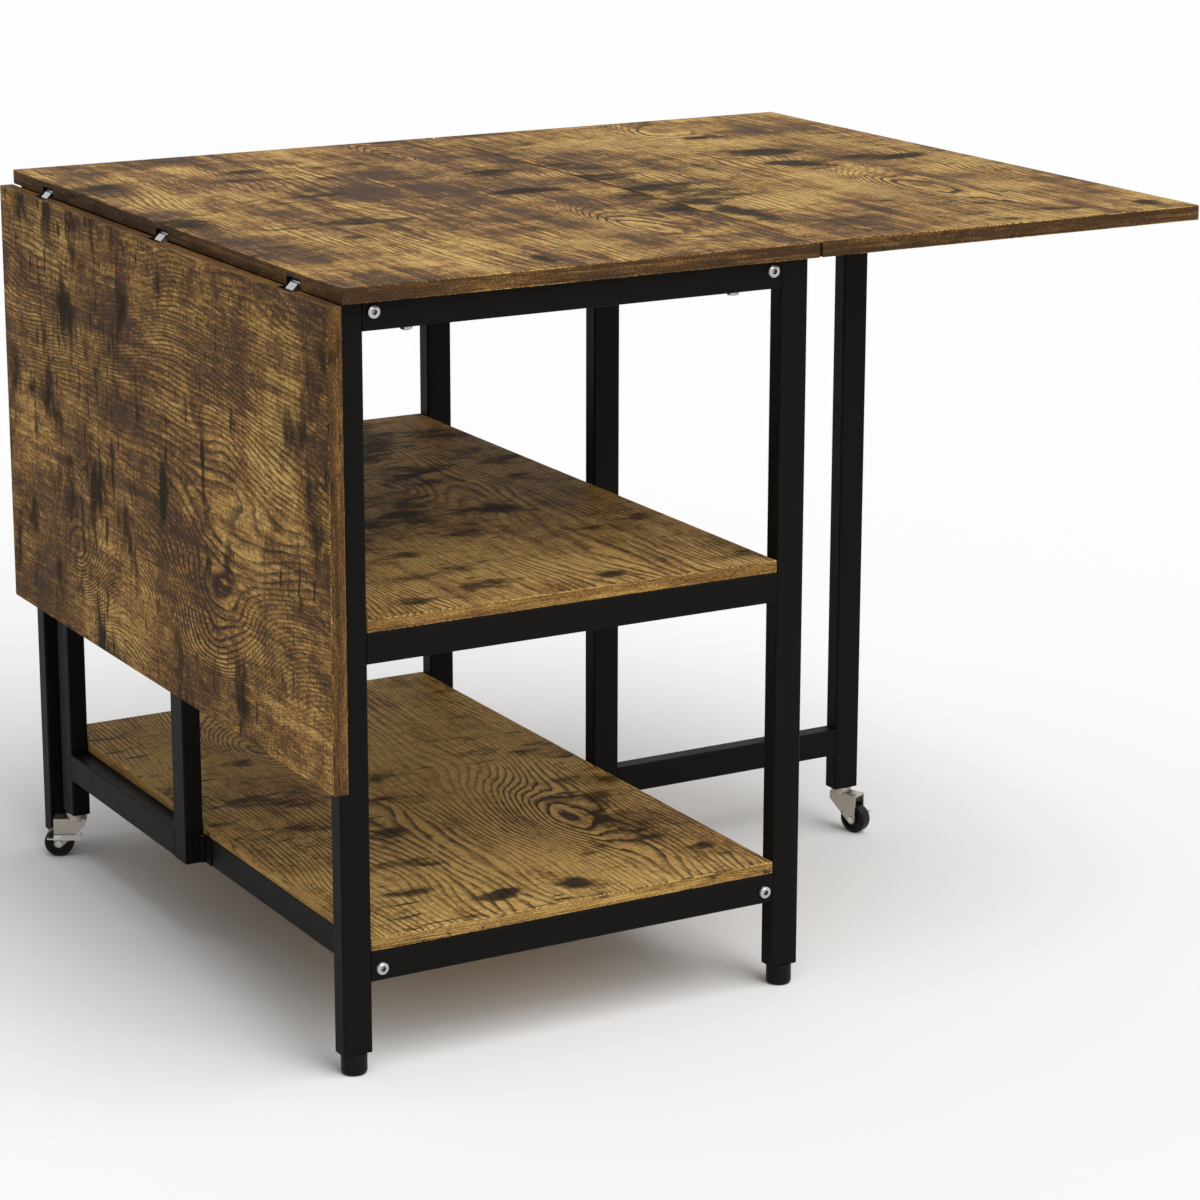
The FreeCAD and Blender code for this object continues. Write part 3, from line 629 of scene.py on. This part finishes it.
@dataclass(frozen=True)
class RusticWood:
    """A board faced with a printed rustic wood whose grain runs along the table's depth.

    Attributes:
        node: the board.
        name: the material's name.
        seed: the board's own place in the noise.
        lie: how the board lies at rest.
        lines: its year lines.
        tones: its light and dark.
        relief: its feel.
        eyes: where the year lines close into rings, with the number of rings as strength.
        stains: where dark smudges lie.
        stain_gather: how much more the stains gather in some regions than in others.
        scar_gather: the same for the scars.
        edge_thin: how much rarer both are on the edges.
        peppered: the noise over which a region is peppered.
    """

    node: str
    name: str
    seed: float
    lie: Lie = Lie.FLAT
    lines: YearLines = YearLines()
    tones: Tones = Tones()
    relief: Relief = Relief()
    eyes: tuple[Spot, ...] = ()
    stains: tuple[Spot, ...] = ()
    stain_gather: float = 0.35
    scar_gather: float = 0.3
    edge_thin: float = 0.06
    peppered: Range = (0.35, 0.6)

    def marks(self, board: BoardSurface, lines: Sock) -> dict[Mark, Sock]:
        """Gives the shapes of the marks.

        Args:
            board: the board's nodes.
            lines: the year lines as far as they show.

        Returns:
            The shapes, in the order in which the marks are laid.
        """
        region = board.grain(Layer.REGION)
        thin = board.off_face * self.edge_thin
        stain = board.grain(Layer.STAIN) + region.swing() * self.stain_gather
        stain = sum(board.humps(self.stains), stain) - thin
        scar = board.grain(Layer.SCAR) + region.swing() * self.scar_gather - thin
        pepper = Mark.PEPPER.shape(board.grain(Layer.PEPPER)) * region.smooth(*self.peppered)
        return {
            Mark.GRIME: Mark.GRIME.shape(board.grain(Layer.GRIME)),
            Mark.HAIR: Mark.HAIR.shape(board.grain(Layer.HAIR)),
            Mark.PEPPER: pepper,
            Mark.LINE: lines,
            Mark.SMUDGE: Mark.SMUDGE.shape(stain),
            Mark.SOOT: Mark.SOOT.shape(stain),
            Mark.SCAR: Mark.SCAR.shape(scar),
            Mark.PORE: Mark.PORE.shape(board.grain(Layer.PORE)),
            Mark.CHIP: Mark.CHIP.shape(board.grain(Layer.CHIP)),
        }

    def material(self) -> bpy.types.Material:
        """Makes the board's own material.

        Returns:
            The material, in the board's own coordinates.
        """
        board = BoardSurface(self.name, self.lie, self.seed)
        eyes = board.humps(self.eyes)
        near_eye = sum(hump * (1 / eye.strength) for hump, eye in zip(eyes, self.eyes))
        lines = self.lines.drawn(board, eyes)
        marks = self.marks(board, lines * self.lines.shown(board, near_eye))
        colour = self.tones.colour(board, near_eye)
        for mark, shape in marks.items():
            colour = mark.lay(board, shape, colour)
        return board.finish({"Base Color": colour, **self.relief.sockets(board, lines, marks)})


@dataclass(frozen=True)
class Coat:
    """A plain finish with a fine grain: paint, moulded plastic or plated metal.

    Attributes:
        name: the material's name.
        colour: its colour.
        worn: its colour where it is worn.
        roughness: its plain roughness.
        metallic: 1 for bare metal and 0 for what isn't metal.
        specular: how strongly what isn't metal reflects.
        grain_scale: cells of the fine grain per metre.
        grain_depth: the depth of the fine grain in metres.
        grain_strength: how much of it shows.
        stretch: how much closer the cells lie along each direction.
        broad_scale: cells of the broad wear per metre.
        broad_wear: the noise over which the broad wear comes up.
        fine_wear: the noise over which the fine wear comes up.
        broad_share: the broad wear's share, of which the fine wear has the rest.
        mottle: how much of the worn colour shows at most.
        broad_gloss: how much the broad wear varies the roughness.
        fine_gloss: how much the fine grain varies it.
        painted_shade_reach: how far off, in metres, a wall still darkens a recess with painted
            shade, or 0 for none.
        open_air: the openness over which the painted shade fades out.
        painted_shade_colour: the colour of the painted shade deep in a recess.
    """

    name: str
    colour: Colour
    worn: Colour
    roughness: float
    metallic: float = 0.0
    specular: float = 0.5
    grain_scale: float = 700.0
    grain_depth: float = 0.02 * MM
    grain_strength: float = 0.3
    stretch: Triple = (1.0, 1.0, 1.0)
    broad_scale: float = 38.0
    broad_wear: Range = (0.4, 0.68)
    fine_wear: Range = (0.45, 0.7)
    broad_share: float = 0.6
    mottle: float = 0.3
    broad_gloss: float = 0.16
    fine_gloss: float = 0.1
    painted_shade_reach: float = 0.0
    open_air: Range = (0.25, 0.95)
    painted_shade_colour: Colour = srgb(12, 12, 12)

    def material(self) -> bpy.types.Material:
        """Makes the finish.

        Returns:
            The material, in the piece's own coordinates.
        """
        surface = Surface(self.name)
        spot = surface.scaled(surface.place(), self.stretch)
        fine = surface.noise(spot, self.grain_scale, detail=2, rough=0.55)
        broad = surface.noise(spot, self.broad_scale, detail=3, rough=0.6)
        wear = broad.smooth(*self.broad_wear) * self.broad_share
        wear = wear + fine.smooth(*self.fine_wear) * (1 - self.broad_share)
        colour = surface.mix(wear * self.mottle, self.colour, self.worn)
        # Painted shade: ambient occlusion darkens the finish toward a dark colour in recesses and
        # corners, where shade falls.
        if self.painted_shade_reach:
            reach = {"Distance": self.painted_shade_reach}
            openness = surface.node("ShaderNodeAmbientOcclusion", reach, "AO", samples=8)
            colour = surface.mix(1 - openness.smooth(*self.open_air), colour, self.painted_shade_colour)
        gloss = broad.swing() * self.broad_gloss + fine.swing() * self.fine_gloss
        return surface.finish(
            {
                "Base Color": colour,
                "Metallic": self.metallic,
                "Roughness": self.roughness + gloss,
                "Specular IOR Level": self.specular,
                "Normal": surface.bump(fine, self.grain_strength, self.grain_depth),
            }
        )


class Finish(Enum):
    """The finishes of the pieces that aren't wood, each named for the record's material slot."""

    BLACK_PAINT = Coat(
        "black_powder_coat",
        colour=srgb(15, 14, 12),
        worn=srgb(20, 19, 17),
        roughness=0.5,
        specular=0.07,
        grain_scale=620,
        grain_depth=0.04 * MM,
    )
    ZINC = Coat(
        "bright_zinc",
        colour=srgb(190, 189, 187),
        worn=srgb(150, 148, 145),
        roughness=0.24,
        metallic=1.0,
        # Painted shade in the bolt sockets and other recesses.
        painted_shade_reach=4 * MM,
        grain_scale=1500,
        grain_strength=0.12,
    )
    LINK_STEEL = Coat(
        "plated_link_steel",
        colour=srgb(186, 185, 184),
        worn=srgb(148, 147, 145),
        roughness=0.3,
        metallic=1.0,
        # Painted shade in the link's recesses.
        painted_shade_reach=3 * MM,
        stretch=(1.0, 1.0, 14.0),
        grain_scale=420,
        grain_strength=0.12,
    )
    PIN_STEEL = Coat(
        "bright_pin_steel",
        colour=srgb(222, 221, 219),
        worn=srgb(184, 182, 179),
        roughness=0.27,
        # Painted highlight: the pins are only partly metal, so their pale colour shows bright
        # inside the dark cup, standing in for the glint of bare steel.
        metallic=0.3,
        stretch=(1.0, 16.0, 1.0),
        grain_scale=420,
        grain_strength=0.12,
    )
    BLACK_PLASTIC = Coat(
        "black_moulded_plastic",
        colour=srgb(16, 16, 15),
        worn=srgb(23, 22, 22),
        roughness=0.46,
        specular=0.1,
        grain_scale=1100,
        grain_depth=0.05 * MM,
    )
    WHEEL_PLASTIC = Coat(
        "black_wheel_plastic",
        colour=srgb(19, 19, 18),
        worn=srgb(30, 29, 28),
        roughness=0.4,
        specular=0.16,
        grain_scale=800,
        grain_depth=0.06 * MM,
    )
    FORK_NICKEL = Coat(
        "satin_nickel",
        colour=srgb(182, 175, 164),
        worn=srgb(150, 142, 132),
        roughness=0.34,
        metallic=1.0,
        # Painted shade in the fork's recesses.
        painted_shade_reach=8 * MM,
        stretch=(1.0, 1.0, 9.0),
        grain_scale=320,
        grain_strength=0.12,
    )
    BRAKE_STEEL = Coat(
        "bright_brake_steel",
        colour=srgb(212, 210, 205),
        worn=srgb(176, 172, 166),
        roughness=0.26,
        metallic=1.0,
        grain_scale=500,
        grain_strength=0.12,
    )


def coat_piece(piece: bpy.types.Object, material: bpy.types.Material) -> None:
    """Puts one material on a piece in place of what it had.

    Args:
        piece: the piece.
        material: its new material.
    """
    piece.data.materials.clear()
    piece.data.materials.append(material)
    log.info("%s wears %s", piece.name, material.name)


@dataclass(frozen=True)
class Boards:
    """The five wood boards."""

    boards: tuple[RusticWood, ...] = (
        RusticWood(
            "top_board",
            "rustic_top",
            seed=3.0,
            tones=Tones(print_tone_and_painted_light=-0.07, contrast=1.1, edge=0.29),
            eyes=(Spot(-0.08, -0.24, 0.05, 0.13, 11), Spot(-0.08, 0.29, 0.05, 0.12, 11)),
            stains=(
                Spot(-0.07, 0.01, 0.045, 0.02, 0.28),
                Spot(-0.04, 0.14, 0.03, 0.018, 0.25),
                Spot(-0.26, 0.26, 0.035, 0.02, 0.22),
                Spot(-0.28, -0.09, 0.06, 0.02, 0.25),
                Spot(-0.45, -0.02, 0.03, 0.04, 0.22),
                Spot(-0.25, 0.08, 0.03, 0.006, 0.22),
                Spot(-0.24, -0.34, 0.012, 0.05, 0.28),
            ),
        ),
        RusticWood(
            "right_leaf",
            "rustic_right_leaf",
            seed=17.0,
            tones=Tones(print_tone_and_painted_light=0.13, edge=0.56),
            eyes=(Spot(0.29, -0.14, 0.05, 0.13, 11), Spot(0.25, 0.3, 0.05, 0.11, 11)),
            stains=(
                Spot(0.3, 0.25, 0.04, 0.015, 0.25),
                Spot(0.3, 0.12, 0.05, 0.02, 0.28),
                Spot(0.28, 0.04, 0.03, 0.02, 0.25),
                Spot(0.42, 0.03, 0.02, 0.012, 0.28),
                Spot(0.37, -0.35, 0.03, 0.02, 0.25),
                Spot(0.45, -0.36, 0.02, 0.02, 0.25),
                Spot(0.06, -0.22, 0.015, 0.05, 0.25),
                Spot(0.07, -0.1, 0.04, 0.22, 0.11),
            ),
        ),
        RusticWood(
            "left_leaf",
            "rustic_left_leaf",
            seed=31.0,
            lie=Lie.HANGING,
            lines=YearLines(rings=190.0),
            # Painted shade: the hanging leaf is made darker, standing in for the dimmer light on
            # its upright face.
            tones=Tones(print_tone_and_painted_light=-0.1, contrast=0.7, edge=0.12),
            eyes=(Spot(0.36, 0.21, 0.055, 0.09, 17), Spot(0.36, -0.13, 0.08, 0.14, 23)),
            stains=(
                Spot(0.6, -0.34, 0.05, 0.05, 0.14),
                Spot(0.54, -0.12, 0.05, 0.006, 0.2),
                Spot(0.49, -0.02, 0.04, 0.006, 0.2),
                Spot(0.56, 0.04, 0.06, 0.008, 0.18),
                Spot(0.53, 0.32, 0.012, 0.03, 0.2),
            ),
        ),
        RusticWood(
            "middle_shelf",
            "rustic_middle_shelf",
            seed=45.0,
            # Painted light: the middle shelf is made lighter, making up for the shade that the
            # top casts on it.
            tones=Tones(print_tone_and_painted_light=0.16, contrast=0.8),
            eyes=(Spot(-0.2, 0.1, 0.05, 0.11, 12),),
            stains=(
                Spot(-0.24, -0.04, 0.025, 0.014, 0.2),
                Spot(-0.14, -0.07, 0.03, 0.02, 0.16),
                Spot(-0.1, -0.18, 0.035, 0.018, 0.2),
                Spot(-0.16, -0.34, 0.022, 0.022, 0.18),
                Spot(-0.26, -0.31, 0.025, 0.015, 0.2),
                Spot(-0.37, -0.34, 0.025, 0.015, 0.2),
            ),
        ),
        RusticWood(
            "bottom_shelf",
            "rustic_bottom_shelf",
            seed=59.0,
            # Painted light: the bottom shelf is made much lighter, making up for the shade that
            # the top and the middle shelf cast on it.
            tones=Tones(print_tone_and_painted_light=0.36, contrast=0.9),
            eyes=(Spot(-0.12, -0.16, 0.05, 0.12, 12), Spot(-0.3, 0.2, 0.05, 0.11, 11)),
            stains=(
                Spot(-0.29, -0.12, 0.025, 0.014, 0.2),
                Spot(-0.35, -0.28, 0.025, 0.015, 0.2),
                Spot(-0.28, -0.33, 0.025, 0.015, 0.2),
                Spot(-0.2, -0.33, 0.022, 0.022, 0.18),
                Spot(-0.14, -0.25, 0.035, 0.018, 0.2),
                Spot(-0.32, 0.16, 0.03, 0.02, 0.16),
            ),
        ),
    )

    def dress(self, shown: Mapping[str, bpy.types.Object]) -> None:
        """Gives each board its own grain."""
        for wood in self.boards:
            coat_piece(shown[wood.node], wood.material())


@dataclass(frozen=True)
class Hardware:
    """Every piece of the frame, hinges, gates and casters, dressed by its material slot."""

    finishes: tuple[Finish, ...] = tuple(Finish)

    def dress(self, shown: Mapping[str, bpy.types.Object], slots: Mapping[str, str]) -> None:
        """Gives each piece the finish of its slot.

        Args:
            shown: the pieces by node.
            slots: each node's material slot.
        """
        for finish in self.finishes:
            material = finish.value.material()
            for node, slot in slots.items():
                if slot == finish.name.lower():
                    coat_piece(shown[node], material)


@dataclass(frozen=True)
class Lamp:
    """A soft light from far away, turned from straight down.

    Attributes:
        name: the lamp's name.
        strength: its strength.
        softness: the angle that it seems to fill.
        turn: its turn about each direction.
        height: how high it hangs, which doesn't change its light.
    """

    name: str
    strength: float
    softness: float
    turn: Triple
    height: float = 3.0

    def hang(self) -> None:
        """Adds the lamp to the scene."""
        light = bpy.data.lights.new(self.name, "SUN")
        light.energy = self.strength
        light.angle = self.softness
        lamp = bpy.data.objects.new(self.name, light)
        lamp.rotation_euler = self.turn
        lamp.location = (0.0, 0.0, self.height)
        bpy.context.scene.collection.objects.link(lamp)


@dataclass(frozen=True)
class Studio:
    """The pale floor, the soft light and the camera at the photograph's place.

    Attributes:
        floor_size: the floor's side in metres.
        floor_colour: its colour.
        floor_cloud: its colour where it is a trace darker.
        floor_roughness: its roughness.
        sky: the sky's strength on the table and the floor.
        backdrop: the sky's strength as the camera and the metal see it.
        sky_colour: its colour.
        lamps: the lamps.
        lens: the camera's focal length in mm.
        sensor: its picture's width in mm.
        shift_up: its upward shift, in picture widths.
        far: how far it sees in metres.
        eye: its place.
        heading: its turn about the upright.
        dip: how far it looks down.
        roll: its turn about its own line of sight.
    """

    floor_size: float = 60.0
    floor_colour: Colour = srgb(252, 252, 252)
    floor_cloud: Colour = srgb(250, 250, 250)
    floor_roughness: float = 0.8
    sky: float = 0.42
    backdrop: float = 0.97
    sky_colour: Colour = (1.0, 1.0, 1.0, 1.0)
    lamps: tuple[Lamp, ...] = (
        Lamp("key_light", 1.5, math.radians(50), (math.radians(18), math.radians(10), 0.0)),
        Lamp("front_light", 0.85, math.radians(40), (math.radians(55), 0.0, math.radians(12))),
    )
    lens: float = 108.16
    sensor: float = 36.0
    shift_up: float = -0.05
    far: float = 100.0
    eye: Triple = (-1.817836, -3.211583, 1.32164)
    heading: float = math.radians(-29.801)
    dip: float = math.radians(14.392)
    roll: float = math.radians(0.128)

    def lay_floor(self) -> None:
        """Lays the floor that the table stands on."""
        half = self.floor_size / 2
        corners = [(-half, -half, 0), (half, -half, 0), (half, half, 0), (-half, half, 0)]
        mesh = bpy.data.meshes.new("studio_floor")
        mesh.from_pydata(corners, [], [(0, 1, 2, 3)])
        floor = bpy.data.objects.new("studio_floor", mesh)
        bpy.context.scene.collection.objects.link(floor)
        surface = Surface("pale_floor")
        cloud = surface.noise(surface.place(), scale=0.4, detail=1, rough=0.4)
        sockets = {
            "Base Color": surface.mix(cloud, self.floor_colour, self.floor_cloud),
            "Roughness": self.floor_roughness,
            "Specular IOR Level": 0.0,
        }
        floor.data.materials.append(surface.finish(sockets))

    def light(self) -> None:
        """Sets a soft sky that the camera and the metal see as white, and hangs the lamps."""
        world = bpy.data.worlds.new("studio_sky")
        world.use_nodes = True
        bpy.context.scene.world = world
        graph = Graph(world.node_tree, "ShaderNodeOutputWorld")
        camera = graph.node("ShaderNodeLightPath", output="Is Camera Ray")
        glossy = graph.node("ShaderNodeLightPath", output="Is Glossy Ray")
        level = camera.maximum(glossy) * (self.backdrop - self.sky) + self.sky
        sockets = {"Color": self.sky_colour, "Strength": level}
        graph.end(graph.node("ShaderNodeBackground", sockets))
        for lamp in self.lamps:
            lamp.hang()

    def set_camera(self) -> None:
        """Puts the camera where the photograph was taken from."""
        lens = bpy.data.cameras.new("photo_camera")
        lens.lens = self.lens
        lens.sensor_width = self.sensor
        lens.shift_y = self.shift_up
        lens.clip_end = self.far
        camera = bpy.data.objects.new("photo_camera", lens)
        turn = Matrix.Rotation(self.heading, 4, "Z")
        turn = turn @ Matrix.Rotation(math.pi / 2 - self.dip, 4, "X")
        turn = turn @ Matrix.Rotation(self.roll, 4, "Z")
        camera.matrix_world = Matrix.Translation(Vector(self.eye)) @ turn
        bpy.context.scene.collection.objects.link(camera)
        bpy.context.scene.camera = camera


def main() -> None:
    """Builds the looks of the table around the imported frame."""
    logging.basicConfig(level=logging.INFO, format="%(name)s: %(message)s")
    # What the start-up scene holds goes first.
    for old in list(bpy.data.objects):
        bpy.data.objects.remove(old)
    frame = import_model()
    bpy.context.scene.view_settings.view_transform = "Standard"
    slots = {row["node"]: row["material_slot"] for row in frame["record"]["subparts"]}
    Boards().dress(frame["nodes"])
    Hardware().dress(frame["nodes"], slots)
    studio = Studio()
    studio.lay_floor()
    studio.light()
    studio.set_camera()


if __name__ == "__main__":
    main()
